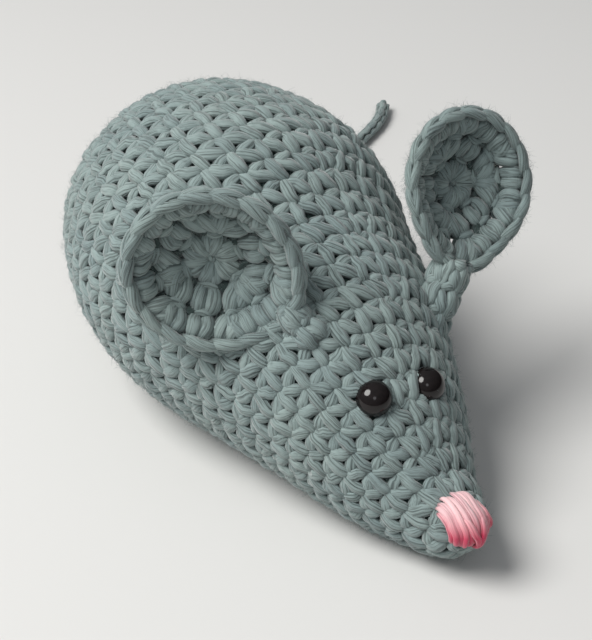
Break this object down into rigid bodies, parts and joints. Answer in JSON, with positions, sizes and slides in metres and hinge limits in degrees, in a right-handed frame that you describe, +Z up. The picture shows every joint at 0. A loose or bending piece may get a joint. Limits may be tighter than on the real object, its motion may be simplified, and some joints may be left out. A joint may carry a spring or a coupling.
{
  "type": "crocheted toy mouse",
  "caption": "Stuffed crocheted toy mouse lying on its flat belly, with cupped ears, bead eyes, a sewn pink nose and a thin cord tail.",
  "frame": {"origin": "middle of the underside of the toy's own box, measured without the tail, on the surface it rests on", "axes": "+Z up, nose towards -Y, the mouse's left towards +X"},
  "size_m": [0.125, 0.1452, 0.0596],
  "materials": {
    "yarn": "soft matt grey-green cotton yarn, single crochet",
    "bead": "polished black",
    "nose_thread": "soft pink stranded cotton with a light sheen, in satin stitches"
  },
  "bodies": {
    "root": {"trunk": "yarn", "head": "yarn", "ear_right": "yarn", "ear_left": "yarn", "eye_right": "bead", "eye_left": "bead", "nose": "nose_thread", "tail": "yarn"}
  },
  "joints": []
}
